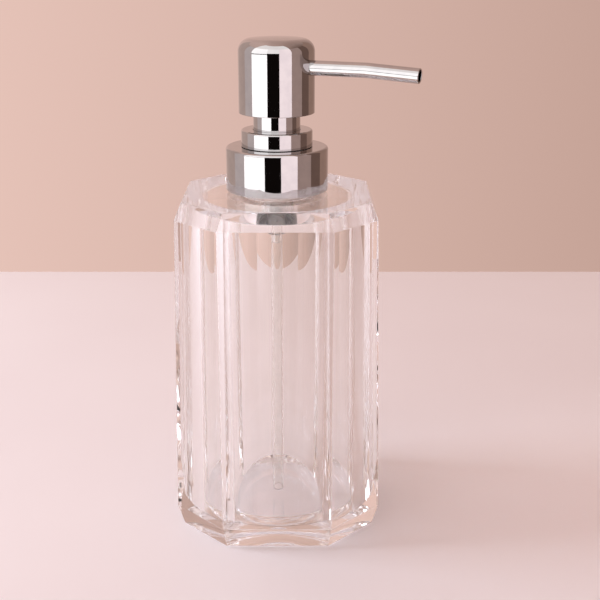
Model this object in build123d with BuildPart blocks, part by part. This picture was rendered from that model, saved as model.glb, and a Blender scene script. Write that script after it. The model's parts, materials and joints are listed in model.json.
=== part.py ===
from build123d import *
import os
from math import asin, cos, pi, radians, sin, sqrt

# Soap pump dispenser: a thick clear octagonal bottle with a chrome lotion pump.
# Millimetres, +Z up. The origin is the middle of the bottle's underside, on the pump's axis.

# ---- bottle -------------------------------------------------------------------------------
foot_half_width = 33.46          # middle to a main face at the underside
foot_face = 17.47                # half of a main face's width at the underside
bevel_half_width = 35.6          # the body is widest here and narrows upwards
bevel_face = 18.5
bevel_height = 7.7
seam_half_width = 33.5           # bonded joint between body and shoulder
seam_face = 18.6
seam_height = 111.8
shoulder_half_width = 31.15
shoulder_face = 16.65
shoulder_height = 117.5
cavity_radius = 26.0
cavity_floor = 3.0
cavity_corner_radius = 2.5

# ---- neck and its thread ------------------------------------------------------------------
neck_height = 129.2
neck_radius = 12.7
neck_bore_radius = 11.0
thread_lead = 4.2
thread_turns = 1.4
thread_root_width = 1.9
thread_crest_width = 1.1
thread_depth = 0.9
thread_embed = 0.3               # how far a thread's root is sunk into its wall
neck_thread_start = 122.1
thread_mesh_drop = 1.75          # cap thread sits this far under the neck thread

# ---- screw closure ------------------------------------------------------------------------
collar_radius = 17.25
collar_base = 118.6
collar_top = 133.07
collar_edge_radius = 1.0
metal_wall = 0.45
cap_radius = 16.7
cap_base = 119.0
cap_top = 132.5
cap_plate = 1.2
cap_bore_radius = neck_radius + thread_depth + 0.3
closure_hole_radius = 9.7

# ---- pump unit ----------------------------------------------------------------------------
ring_radius = 12.0               # step ring that stands on the collar
ring_base = 133.22
ring_top = 138.7
ring_edge_radius = 0.7
sleeve_radius = 7.9
sleeve_running_clearance = 0.08
guide_neck_radius = 9.4
guide_base = 124.6
guide_lip_top = 126.0
stem_radius = 3.5
stem_running_clearance = 0.06
flange_radius = 12.2
flange_base = 130.0
flange_top = 131.2
cup_radius = 10.6
cup_floor = 123.75
cup_floor_base = 122.55
barrel_radius = 5.6
barrel_bore_radius = 4.6
barrel_floor = 105.0
barrel_floor_base = 103.8
barrel_foot_chamfer = 0.8
dip_tube_radius = 2.93
dip_tube_bore_radius = 2.3
dip_tube_end = 7.0
tube_spigot_radius = 2.28        # pushed into the dip tube
tube_spigot_end = 100.4
inlet_hole_radius = 1.1
inlet_ball_radius = 1.6
retainer_top = 109.4

# ---- spring -------------------------------------------------------------------------------
spring_base = 126.05
spring_top = 149.45
spring_mean_radius = 6.1
spring_wire_radius = 0.5
spring_turns = 6.0

# ---- plunger and head ---------------------------------------------------------------------
stem_base = 122.4
stem_top = 155.5
stem_bore_radius = 1.6
sleeve_base = 136.7
sleeve_top = 150.7
head_radius = 12.7
head_base = 144.2
head_top = 168.8
head_crown = 0.9                 # rise of the domed top over the head's radius
head_edge_radius = 4.2
core_radius = head_radius - metal_wall - 0.05
core_base = 149.5
core_plate_top = 151.3
core_rim_top = 157.0
core_rim_wall = 1.2
core_boss_radius = 5.5
core_boss_top = 163.0
valve_chamber_radius = 2.4
valve_chamber_top = 161.3
outlet_ball_radius = 2.0

# ---- spout --------------------------------------------------------------------------------
spout_height = 159.3
spout_azimuth = -22.0            # degrees about +Z from +X at rest
spout_radius = 2.45
spout_bore_radius = 1.95
spout_inner_end = 5.2
spout_bend_reach = 31.2
spout_tip_reach = 48.9
spout_tip_drop = 1.05
spout_bend_radius = 14.0
spout_boss_radius = 4.0
spout_passage_radius = 1.6
spout_seal_reach = 8.0
spout_seal_radius = 0.45

bond_gap = 0.05                  # play between pieces that are pushed or snapped together

os.makedirs("parts", exist_ok=True)


def octagon(half_width, face):
    """Corner points of a square with cut corners, from the halves of its width and main face."""
    return [
        (half_width, -face),
        (half_width, face),
        (face, half_width),
        (-face, half_width),
        (-half_width, face),
        (-half_width, -face),
        (-face, -half_width),
        (face, -half_width),
    ]


def ring_section(inner, outer, low, high):
    """Rectangle of (radius, height) points, the section of a plain ring."""
    return [(inner, low), (outer, low), (outer, high), (inner, high)]


def ball_seat_height(ball_radius, hole_radius):
    """Height of a ball's centre over the sharp edge of the hole that it rests on."""
    return sqrt(ball_radius**2 - hole_radius**2)


# ---- bottle body: cast clear block with a round well ----------------------------------------
with BuildPart() as bottle_body:
    with BuildSketch():
        Polygon(*octagon(foot_half_width, foot_face), align=None)
    with BuildSketch(Plane.XY.offset(bevel_height)):
        Polygon(*octagon(bevel_half_width, bevel_face), align=None)
    loft()
    with BuildSketch(Plane.XY.offset(bevel_height)):
        Polygon(*octagon(bevel_half_width, bevel_face), align=None)
    with BuildSketch(Plane.XY.offset(seam_height)):
        Polygon(*octagon(seam_half_width, seam_face), align=None)
    loft()
    with BuildSketch(Plane.XZ) as well_section:
        Polygon(*ring_section(0, cavity_radius, cavity_floor, seam_height), align=None)
        fillet(well_section.vertices().group_by(Axis.Y)[0].sort_by(Axis.X)[-1], cavity_corner_radius)
    revolve(axis=Axis.Z, mode=Mode.SUBTRACT)
bottle_body.part.label = "bottle_body"
export_step(bottle_body.part, "parts/bottle_body.step")


# ---- shoulder: bevelled plate bonded on the body, with the threaded neck ---------------------
with BuildPart() as bottle_shoulder:
    with BuildSketch(Plane.XY.offset(seam_height)):
        Polygon(*octagon(seam_half_width, seam_face), align=None)
    with BuildSketch(Plane.XY.offset(shoulder_height)):
        Polygon(*octagon(shoulder_half_width, shoulder_face), align=None)
    loft()
    with BuildSketch(Plane.XZ):
        Polygon(*ring_section(0, neck_radius, shoulder_height, neck_height), align=None)
    revolve(axis=Axis.Z)
    with BuildLine(Plane.XY.offset(neck_thread_start)) as neck_helix:
        Helix(pitch=thread_lead, height=thread_lead * thread_turns, radius=neck_radius)
    with BuildSketch(Plane(origin=neck_helix.line @ 0, x_dir=(1, 0, 0), z_dir=neck_helix.line % 0)):
        Polygon(
            (-thread_embed, -thread_root_width / 2),
            (0, -thread_root_width / 2),
            (thread_depth, -thread_crest_width / 2),
            (thread_depth, thread_crest_width / 2),
            (0, thread_root_width / 2),
            (-thread_embed, thread_root_width / 2),
            align=None,
        )
    sweep(path=neck_helix.line, is_frenet=True)
    with BuildSketch(Plane.XY.offset(seam_height)):
        Circle(neck_bore_radius)
    extrude(amount=neck_height - seam_height, mode=Mode.SUBTRACT)
bottle_shoulder.part.label = "bottle_shoulder"
export_step(bottle_shoulder.part, "parts/bottle_shoulder.step")


# ---- collar shell: drawn chrome cover of the closure -----------------------------------------
with BuildPart() as collar_shell:
    with BuildSketch(Plane.XZ) as collar_outer:
        Polygon(*ring_section(0, collar_radius, collar_base, collar_top), align=None)
        fillet(collar_outer.vertices().group_by(Axis.Y)[-1].sort_by(Axis.X)[-1], collar_edge_radius)
    revolve(axis=Axis.Z)
    with BuildSketch(Plane.XZ) as collar_inner:
        Polygon(
            *ring_section(0, collar_radius - metal_wall, collar_base, collar_top - metal_wall),
            align=None,
        )
        fillet(
            collar_inner.vertices().group_by(Axis.Y)[-1].sort_by(Axis.X)[-1],
            collar_edge_radius - metal_wall,
        )
    revolve(axis=Axis.Z, mode=Mode.SUBTRACT)
    with BuildSketch(Plane.XY.offset(collar_base)):
        Circle(closure_hole_radius)
    extrude(amount=collar_top - collar_base, mode=Mode.SUBTRACT)
collar_shell.part.label = "collar_shell"
export_step(collar_shell.part, "parts/collar_shell.step")


# ---- threaded cap: moulded screw cap inside the collar shell ---------------------------------
with BuildPart() as threaded_cap:
    with BuildSketch(Plane.XZ) as cap_outer:
        Polygon(*ring_section(0, cap_radius, cap_base, cap_top), align=None)
        chamfer(cap_outer.vertices().group_by(Axis.Y)[-1].sort_by(Axis.X)[-1], collar_edge_radius)
    revolve(axis=Axis.Z)
    with BuildSketch(Plane.XZ):
        Polygon(*ring_section(0, cap_bore_radius, cap_base, cap_top - cap_plate), align=None)
    revolve(axis=Axis.Z, mode=Mode.SUBTRACT)
    with BuildLine(Plane.XY.offset(neck_thread_start - thread_mesh_drop)) as cap_helix:
        Helix(pitch=thread_lead, height=thread_lead * thread_turns, radius=cap_bore_radius)
    with BuildSketch(Plane(origin=cap_helix.line @ 0, x_dir=(1, 0, 0), z_dir=cap_helix.line % 0)):
        Polygon(
            (thread_embed, -thread_root_width / 2),
            (thread_embed, thread_root_width / 2),
            (0, thread_root_width / 2),
            (-thread_depth, thread_crest_width / 2),
            (-thread_depth, -thread_crest_width / 2),
            (0, -thread_root_width / 2),
            align=None,
        )
    sweep(path=cap_helix.line, is_frenet=True)
    with BuildSketch(Plane.XY.offset(cap_top - cap_plate)):
        Circle(closure_hole_radius)
    extrude(amount=cap_plate, mode=Mode.SUBTRACT)
threaded_cap.part.label = "threaded_cap"
export_step(threaded_cap.part, "parts/threaded_cap.step")


# ---- stem guide: moulded bush snapped into the cylinder's cup --------------------------------
guide_bore_radius = sleeve_radius + sleeve_running_clearance
with BuildPart() as stem_guide:
    with BuildSketch(Plane.XZ):
        Polygon(
            (guide_bore_radius, ring_top - metal_wall - bond_gap),
            (guide_bore_radius, guide_lip_top),
            (stem_radius + stem_running_clearance, guide_lip_top),
            (stem_radius + stem_running_clearance, guide_base),
            (guide_neck_radius, guide_base),
            (guide_neck_radius, ring_base),
            (ring_radius - metal_wall - bond_gap, ring_base),
            (ring_radius - metal_wall - bond_gap, ring_top - metal_wall - ring_edge_radius),
            (ring_radius - metal_wall - ring_edge_radius, ring_top - metal_wall - bond_gap),
            align=None,
        )
    revolve(axis=Axis.Z)
stem_guide.part.label = "stem_guide"
export_step(stem_guide.part, "parts/stem_guide.step")


# ---- guide ring shell: chrome cover of the step ring ----------------------------------------
with BuildPart() as guide_ring_shell:
    with BuildSketch(Plane.XZ) as ring_outer:
        Polygon(*ring_section(0, ring_radius, ring_base, ring_top), align=None)
        fillet(ring_outer.vertices().group_by(Axis.Y)[-1].sort_by(Axis.X)[-1], ring_edge_radius)
    revolve(axis=Axis.Z)
    with BuildSketch(Plane.XZ) as ring_inner:
        Polygon(
            *ring_section(0, ring_radius - metal_wall, ring_base, ring_top - metal_wall),
            align=None,
        )
        fillet(
            ring_inner.vertices().group_by(Axis.Y)[-1].sort_by(Axis.X)[-1],
            ring_edge_radius - metal_wall,
        )
    revolve(axis=Axis.Z, mode=Mode.SUBTRACT)
    with BuildSketch(Plane.XY.offset(ring_base)):
        Circle(guide_bore_radius)
    extrude(amount=ring_top - ring_base, mode=Mode.SUBTRACT)
guide_ring_shell.part.label = "guide_ring_shell"
export_step(guide_ring_shell.part, "parts/guide_ring_shell.step")


# ---- neck gasket: flat washer between the flange and the neck --------------------------------
with BuildPart() as neck_gasket:
    with BuildSketch(Plane.XZ):
        Polygon(*ring_section(neck_bore_radius, neck_radius, neck_height, flange_base), align=None)
    revolve(axis=Axis.Z)
neck_gasket.part.label = "neck_gasket"
export_step(neck_gasket.part, "parts/neck_gasket.step")


# ---- pump cylinder: flange, cup, barrel, inlet seat and dip tube spigot ----------------------
with BuildPart() as pump_cylinder:
    with BuildSketch(Plane.XZ):
        Polygon(
            (guide_neck_radius + bond_gap, flange_top),
            (guide_neck_radius + bond_gap, cup_floor),
            (barrel_bore_radius, cup_floor),
            (barrel_bore_radius, barrel_floor),
            (inlet_hole_radius, barrel_floor),
            (inlet_hole_radius, tube_spigot_end),
            (tube_spigot_radius, tube_spigot_end),
            (tube_spigot_radius, barrel_floor_base),
            (barrel_radius - barrel_foot_chamfer, barrel_floor_base),
            (barrel_radius, barrel_floor_base + barrel_foot_chamfer),
            (barrel_radius, cup_floor_base),
            (cup_radius, cup_floor_base),
            (cup_radius, flange_base),
            (flange_radius, flange_base),
            (flange_radius, flange_top),
            align=None,
        )
    revolve(axis=Axis.Z)
pump_cylinder.part.label = "pump_cylinder"
export_step(pump_cylinder.part, "parts/pump_cylinder.step")


# ---- wiper seal: soft washer round the stem, under the guide's lip ---------------------------
with BuildPart() as wiper_seal:
    with BuildSketch(Plane.XZ):
        Polygon(
            (stem_radius + stem_running_clearance, cup_floor + bond_gap),
            (stem_radius + 4, cup_floor + bond_gap),
            (stem_radius + 4, guide_base - bond_gap),
            (stem_radius + 1, guide_base - bond_gap),
            (stem_radius + stem_running_clearance, cup_floor + 5 * bond_gap),
            align=None,
        )
    revolve(axis=Axis.Z)
wiper_seal.part.label = "wiper_seal"
export_step(wiper_seal.part, "parts/wiper_seal.step")


# ---- inlet ball and its retainer -------------------------------------------------------------
inlet_ball_height = barrel_floor + ball_seat_height(inlet_ball_radius, inlet_hole_radius) + 0.02
with BuildPart() as inlet_ball:
    with Locations((0, 0, inlet_ball_height)):
        Sphere(inlet_ball_radius)
inlet_ball.part.label = "inlet_ball"
export_step(inlet_ball.part, "parts/inlet_ball.step")

retainer_ring_bore = inlet_ball_radius + 1.3
retainer_bar_height = 0.8
retainer_bar_width = 1.0
retainer_rib_reach = inlet_ball_radius + 0.15
with BuildPart() as ball_retainer:
    with BuildSketch(Plane.XZ):
        Polygon(
            *ring_section(
                retainer_ring_bore, barrel_bore_radius - bond_gap, barrel_floor + bond_gap, retainer_top
            ),
            align=None,
        )
    revolve(axis=Axis.Z)
    with BuildSketch(Plane.XY.offset(retainer_top - retainer_bar_height)):
        with PolarLocations(0, 3):
            Rectangle(retainer_ring_bore + 0.3, retainer_bar_width, align=(Align.MIN, Align.CENTER))
    extrude(amount=retainer_bar_height)
    with BuildSketch(Plane.XY.offset(barrel_floor + bond_gap)):
        with PolarLocations(retainer_rib_reach, 3):
            Rectangle(
                retainer_ring_bore - retainer_rib_reach + 0.3,
                retainer_bar_width,
                align=(Align.MIN, Align.CENTER),
            )
    extrude(amount=retainer_top - barrel_floor - bond_gap)
ball_retainer.part.label = "ball_retainer"
export_step(ball_retainer.part, "parts/ball_retainer.step")


# ---- dip tube ---------------------------------------------------------------------------------
with BuildPart() as dip_tube:
    with BuildSketch(Plane.XY.offset(dip_tube_end)):
        Circle(dip_tube_radius)
        Circle(dip_tube_bore_radius, mode=Mode.SUBTRACT)
    extrude(amount=barrel_floor_base - bond_gap - dip_tube_end)
dip_tube.part.label = "dip_tube"
export_step(dip_tube.part, "parts/dip_tube.step")


# ---- return spring: open coil between the guide's lip and the head ---------------------------
spring_pitch = (spring_top - spring_base - 2 * spring_wire_radius) / spring_turns
with BuildPart() as spring:
    with BuildLine(Plane.XY.offset(spring_base + spring_wire_radius)) as spring_helix:
        Helix(
            pitch=spring_pitch,
            height=spring_pitch * spring_turns,
            radius=spring_mean_radius,
        )
    with BuildSketch(Plane(origin=spring_helix.line @ 0, z_dir=spring_helix.line % 0)):
        Circle(spring_wire_radius)
    sweep(path=spring_helix.line, is_frenet=True)
spring.part.label = "spring"
export_step(spring.part, "parts/spring.step")


# ---- piston: rod, seal and hollow stem -------------------------------------------------------
rod_flange_radius = 3.9
rod_flange_base = 119.9
rod_flange_top = 120.9
rod_shank_radius = 2.2
rod_spigot_top = 126.4
rod_bore_radius = 0.9
with BuildPart() as piston_rod:
    with BuildSketch(Plane.XZ):
        Polygon(
            (rod_bore_radius, rod_flange_base),
            (rod_flange_radius, rod_flange_base),
            (rod_flange_radius, rod_flange_top),
            (rod_shank_radius, rod_flange_top),
            (rod_shank_radius, stem_base),
            (stem_bore_radius, stem_base),
            (stem_bore_radius, rod_spigot_top),
            (rod_bore_radius, rod_spigot_top),
            align=None,
        )
    revolve(axis=Axis.Z)
piston_rod.part.label = "piston_rod"
export_step(piston_rod.part, "parts/piston_rod.step")

seal_radius = barrel_bore_radius - 0.03
seal_waist_radius = barrel_bore_radius - 0.3
seal_lip = 0.4
seal_base = 119.6
seal_top = 123.65
seal_play = 0.08
with BuildPart() as piston_seal:
    with BuildSketch(Plane.XZ):
        Polygon(
            (rod_shank_radius + seal_play, rod_flange_top + seal_play),
            (rod_flange_radius + seal_play, rod_flange_top + seal_play),
            (rod_flange_radius + seal_play, seal_base),
            (seal_radius, seal_base),
            (seal_radius, seal_base + seal_lip),
            (seal_waist_radius, seal_base + 2 * seal_lip),
            (seal_waist_radius, seal_top - 2 * seal_lip),
            (seal_radius, seal_top - seal_lip),
            (seal_radius, seal_top),
            (rod_flange_radius + seal_play, seal_top),
            (stem_radius + seal_play, stem_base + 2 * seal_play),
            (stem_radius + seal_play, stem_base - seal_play),
            (rod_shank_radius + seal_play, stem_base - seal_play),
            align=None,
        )
    revolve(axis=Axis.Z)
piston_seal.part.label = "piston_seal"
export_step(piston_seal.part, "parts/piston_seal.step")

with BuildPart() as stem:
    with BuildSketch(Plane.XY.offset(stem_base)):
        Circle(stem_radius)
        Circle(stem_bore_radius, mode=Mode.SUBTRACT)
    extrude(amount=stem_top - stem_base)
stem.part.label = "stem"
export_step(stem.part, "parts/stem.step")


# ---- stem sleeve: chrome tube that slides in the guide ---------------------------------------
with BuildPart() as stem_sleeve:
    with BuildSketch(Plane.XY.offset(sleeve_base)):
        Circle(sleeve_radius)
        Circle(sleeve_radius - metal_wall, mode=Mode.SUBTRACT)
    extrude(amount=sleeve_top - sleeve_base)
stem_sleeve.part.label = "stem_sleeve"
export_step(stem_sleeve.part, "parts/stem_sleeve.step")


# ---- spout directions -------------------------------------------------------------------------
spout_x = cos(radians(spout_azimuth))
spout_y = sin(radians(spout_azimuth))


def along_spout(reach, height):
    """Point at this distance from the pump's axis, in the spout's vertical plane."""
    return (reach * spout_x, reach * spout_y, height)


def across_spout(reach):
    """Plane square to the spout's axis at this distance from the pump's axis."""
    return Plane(
        origin=along_spout(reach, spout_height),
        x_dir=(-spout_y, spout_x, 0),
        z_dir=(spout_x, spout_y, 0),
    )


# ---- head core: moulded insert with the stem socket, outlet valve and spout boss --------------
with BuildPart() as head_core:
    with BuildSketch(Plane.XY.offset(core_base)):
        Circle(core_radius)
    extrude(amount=core_plate_top - core_base)
    with BuildSketch(Plane.XY.offset(core_plate_top)):
        Circle(core_radius)
        Circle(core_radius - core_rim_wall, mode=Mode.SUBTRACT)
    extrude(amount=core_rim_top - core_plate_top)
    with BuildSketch(Plane.XY.offset(core_plate_top)):
        Circle(core_boss_radius)
    extrude(amount=core_boss_top - core_plate_top)
    with BuildSketch(across_spout(0)):
        Circle(spout_boss_radius)
    extrude(amount=core_radius - core_rim_wall)
    with BuildSketch(Plane.XY.offset(core_base)):
        Circle(stem_radius)
    extrude(amount=stem_top - core_base, mode=Mode.SUBTRACT)
    with BuildSketch(Plane.XY.offset(stem_top)):
        Circle(valve_chamber_radius)
    extrude(amount=valve_chamber_top - stem_top, mode=Mode.SUBTRACT)
    with BuildSketch(Plane.XY.offset(core_base)):
        Circle(sleeve_radius + bond_gap)
        Circle(sleeve_radius - metal_wall - bond_gap, mode=Mode.SUBTRACT)
    extrude(amount=sleeve_top - core_base, mode=Mode.SUBTRACT)
    with BuildSketch(across_spout(0)):
        Circle(spout_passage_radius)
    extrude(amount=spout_inner_end, mode=Mode.SUBTRACT)
    with BuildSketch(across_spout(spout_inner_end)):
        Circle(spout_radius)
    extrude(amount=core_radius, mode=Mode.SUBTRACT)
    with BuildSketch(across_spout(spout_seal_reach - spout_seal_radius - bond_gap)):
        Circle(spout_radius + 2 * spout_seal_radius + bond_gap)
    extrude(amount=2 * (spout_seal_radius + bond_gap), mode=Mode.SUBTRACT)
head_core.part.label = "head_core"
export_step(head_core.part, "parts/head_core.step")


# ---- head shell: drawn chrome cap with a crowned top and a skirt over the step ring ----------
def crowned_section(radius, top, corner):
    """Half section of the head: a straight side, a rounded edge and a crowned top."""
    crown_radius = (radius**2 + head_crown**2) / (2 * head_crown)
    crown_centre = top - crown_radius
    lean = asin((radius - corner) / (crown_radius - corner))
    corner_centre = crown_centre + (crown_radius - corner) * cos(lean)
    turn = (lean + pi / 2) / 2
    side_top = (radius, corner_centre)
    edge_middle = (radius - corner + corner * sin(turn), corner_centre + corner * cos(turn))
    crown_edge = (crown_radius * sin(lean), crown_centre + crown_radius * cos(lean))
    crown_middle = (crown_radius * sin(lean / 2), crown_centre + crown_radius * cos(lean / 2))
    with BuildSketch(Plane.XZ, mode=Mode.PRIVATE) as half_section:
        with BuildLine():
            Polyline((0, top), (0, head_base), (radius, head_base), side_top)
            ThreePointArc(side_top, edge_middle, crown_edge)
            ThreePointArc(crown_edge, crown_middle, (0, top))
        make_face()
    return half_section.sketch


with BuildPart() as head_shell:
    revolve(profiles=crowned_section(head_radius, head_top, head_edge_radius), axis=Axis.Z)
    revolve(
        profiles=crowned_section(
            head_radius - metal_wall, head_top - metal_wall, head_edge_radius - metal_wall
        ),
        axis=Axis.Z,
        mode=Mode.SUBTRACT,
    )
    with BuildSketch(across_spout(head_radius / 2)):
        Circle(spout_radius + bond_gap)
    extrude(amount=head_radius, mode=Mode.SUBTRACT)
head_shell.part.label = "head_shell"
export_step(head_shell.part, "parts/head_shell.step")


# ---- spout tube: straight, with one slight bend ----------------------------------------------
with BuildPart() as spout_tube:
    with BuildLine() as spout_line:
        FilletPolyline(
            along_spout(spout_inner_end, spout_height),
            along_spout(spout_bend_reach, spout_height),
            along_spout(spout_tip_reach, spout_height - spout_tip_drop),
            radius=spout_bend_radius,
        )
    with BuildSketch(across_spout(spout_inner_end)):
        Circle(spout_radius)
        Circle(spout_bore_radius, mode=Mode.SUBTRACT)
    sweep(path=spout_line.line)
spout_tube.part.label = "spout_tube"
export_step(spout_tube.part, "parts/spout_tube.step")


# ---- spout seal ring --------------------------------------------------------------------------
with BuildPart() as spout_o_ring:
    with Locations(across_spout(spout_seal_reach)):
        Torus(spout_radius + spout_seal_radius, spout_seal_radius)
spout_o_ring.part.label = "spout_o_ring"
export_step(spout_o_ring.part, "parts/spout_o_ring.step")


# ---- outlet ball: rests on the stem's mouth ---------------------------------------------------
outlet_ball_height = stem_top + ball_seat_height(outlet_ball_radius, stem_bore_radius) + 0.02
with BuildPart() as outlet_ball:
    with Locations((0, 0, outlet_ball_height)):
        Sphere(outlet_ball_radius)
outlet_ball.part.label = "outlet_ball"
export_step(outlet_ball.part, "parts/outlet_ball.step")
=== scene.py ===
"""Looks of a soap pump dispenser: a clear cast bottle with a bright chrome lotion pump.

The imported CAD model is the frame. Every place comes from it, in metres, with +Z up and the
front face towards -Y. Sizes that only the looks need are in millimetres and end in _mm.
"""

import json
import logging
from dataclasses import dataclass, field
from math import acos, asin, cos, pi, radians, sin, sqrt, tan

import bmesh
import bpy
from mathutils import Matrix, Vector

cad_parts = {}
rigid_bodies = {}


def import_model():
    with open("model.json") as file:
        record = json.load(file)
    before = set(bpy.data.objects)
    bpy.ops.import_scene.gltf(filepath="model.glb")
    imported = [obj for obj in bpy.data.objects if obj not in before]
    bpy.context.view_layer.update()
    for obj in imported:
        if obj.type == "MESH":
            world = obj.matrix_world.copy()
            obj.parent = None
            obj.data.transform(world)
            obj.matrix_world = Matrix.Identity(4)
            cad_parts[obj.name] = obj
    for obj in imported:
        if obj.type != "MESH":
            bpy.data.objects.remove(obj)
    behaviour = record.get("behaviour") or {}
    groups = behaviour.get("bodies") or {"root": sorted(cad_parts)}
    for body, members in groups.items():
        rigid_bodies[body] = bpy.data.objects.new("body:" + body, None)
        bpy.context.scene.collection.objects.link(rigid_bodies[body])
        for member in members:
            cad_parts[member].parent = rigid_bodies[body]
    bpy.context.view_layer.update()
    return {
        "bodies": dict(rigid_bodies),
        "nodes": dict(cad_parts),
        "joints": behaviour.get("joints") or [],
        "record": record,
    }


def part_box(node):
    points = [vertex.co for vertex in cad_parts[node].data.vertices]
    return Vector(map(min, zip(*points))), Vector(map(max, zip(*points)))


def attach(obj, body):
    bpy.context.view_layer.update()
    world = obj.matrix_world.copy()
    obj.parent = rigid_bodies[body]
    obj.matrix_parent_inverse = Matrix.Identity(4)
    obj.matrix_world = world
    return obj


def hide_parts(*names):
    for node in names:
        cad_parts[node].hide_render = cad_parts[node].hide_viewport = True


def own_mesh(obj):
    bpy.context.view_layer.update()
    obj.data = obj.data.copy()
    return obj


MM = 0.001
ON_AXIS_M = 1e-9
FACE_WEIGHT = 50
# Noise seldom leaves the first range; the second lies inside it, so that both tints show.
NOISE_REACH = (0.3, 0.7)
TINT_REACH = (0.35, 0.65)
LOG = logging.getLogger("dispenser")

Point = tuple[float, float]
Corner = tuple[float, float, float]


# ---- colour and node helpers ---------------------------------------------------------------


def linear(hex_colour: str, alpha: float = 1.0) -> tuple[float, float, float, float]:
    """Turn an sRGB hex colour into linear light.

    Args:
        hex_colour: Colour such as "#d5b5a9".
        alpha: Fourth value of the result.

    Returns:
        Linear red, green, blue and alpha.
    """
    levels = [int(hex_colour[i : i + 2], 16) / 255 for i in (1, 3, 5)]
    red, green, blue = (v / 12.92 if v <= 0.04045 else ((v + 0.055) / 1.055) ** 2.4 for v in levels)
    return red, green, blue, alpha


def add_node(
    tree: bpy.types.NodeTree,
    kind: str,
    settings: dict | None = None,
    values: dict | None = None,
    links: dict | None = None,
) -> bpy.types.Node:
    """Add one node with its settings, socket values and incoming links.

    Args:
        tree: Node tree that takes the node.
        kind: Blender's node type name.
        settings: Node properties by name.
        values: Input socket values by socket name or number.
        links: Output sockets to link, by input socket name or number.

    Returns:
        The new node.
    """
    node = tree.nodes.new(kind)
    for name, value in (settings or {}).items():
        setattr(node, name, value)
    for name, value in (values or {}).items():
        node.inputs[name].default_value = value
    for name, socket in (links or {}).items():
        tree.links.new(socket, node.inputs[name])
    return node


def new_material(name: str) -> tuple[bpy.types.Material, bpy.types.NodeTree]:
    """Make an empty node material.

    Args:
        name: Name of the material, after the substance.

    Returns:
        The material and its node tree.
    """
    material = bpy.data.materials.new(name)
    material.use_nodes = True
    material.node_tree.nodes.clear()
    return material, material.node_tree


def noise(tree: bpy.types.NodeTree, size_mm: float, detail: float = 2.0) -> bpy.types.Node:
    """Add object-space noise.

    Args:
        tree: Node tree that takes the nodes.
        size_mm: About how far across its blotches are.
        detail: How many finer layers it has.

    Returns:
        The noise node.
    """
    place = add_node(tree, "ShaderNodeTexCoord")
    return add_node(
        tree,
        "ShaderNodeTexNoise",
        values={"Scale": 1.0 / (size_mm * MM), "Detail": detail},
        links={"Vector": place.outputs["Object"]},
    )


def spread(
    tree: bpy.types.NodeTree, socket: bpy.types.NodeSocket, low: float, high: float
) -> bpy.types.NodeSocket:
    """Map a value over the reach of noise onto low to high, and hold it there beyond.

    Args:
        tree: Node tree that takes the node.
        socket: Noise, or another value from 0 to 1.
        low: Result at the lower end of NOISE_REACH.
        high: Result at its upper end.

    Returns:
        The socket of the result.
    """
    start, stop = NOISE_REACH
    node = add_node(
        tree,
        "ShaderNodeMapRange",
        values={"From Min": start, "From Max": stop, "To Min": low, "To Max": high},
        links={"Value": socket},
    )
    return node.outputs["Result"]


def tint_between(
    tree: bpy.types.NodeTree, socket: bpy.types.NodeSocket, first: str, second: str
) -> bpy.types.NodeSocket:
    """Mix two sRGB hex colours by a noise value.

    Args:
        tree: Node tree that takes the node.
        socket: Noise.
        first: Colour where the noise is low.
        second: Colour where it is high.

    Returns:
        The socket of the colour.
    """
    ramp = add_node(tree, "ShaderNodeValToRGB", links={"Fac": socket})
    ends = zip(ramp.color_ramp.elements, TINT_REACH, (first, second))
    for element, position, tint in ends:
        element.position = position
        element.color = linear(tint)
    return ramp.outputs["Color"]


def spread_around(
    tree: bpy.types.NodeTree, socket: bpy.types.NodeSocket, middle: float, reach: float
) -> bpy.types.NodeSocket:
    """Map noise onto the values within reach of a middle one."""
    return spread(tree, socket, middle - reach, middle + reach)


def show_through(
    tree: bpy.types.NodeTree, body: bpy.types.NodeSocket, through: bpy.types.NodeSocket
) -> None:
    """End a clear material: shadow rays meet one shader and all other rays another.

    Args:
        tree: Node tree that takes the nodes.
        body: Shader of the substance.
        through: Shader that lets the light of the lamps pass.
    """
    path = add_node(tree, "ShaderNodeLightPath")
    mix = add_node(
        tree,
        "ShaderNodeMixShader",
        links={0: path.outputs["Is Shadow Ray"], 1: body, 2: through},
    )
    add_node(tree, "ShaderNodeOutputMaterial", links={"Surface": mix.outputs["Shader"]})


# ---- finishes --------------------------------------------------------------------------------


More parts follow.
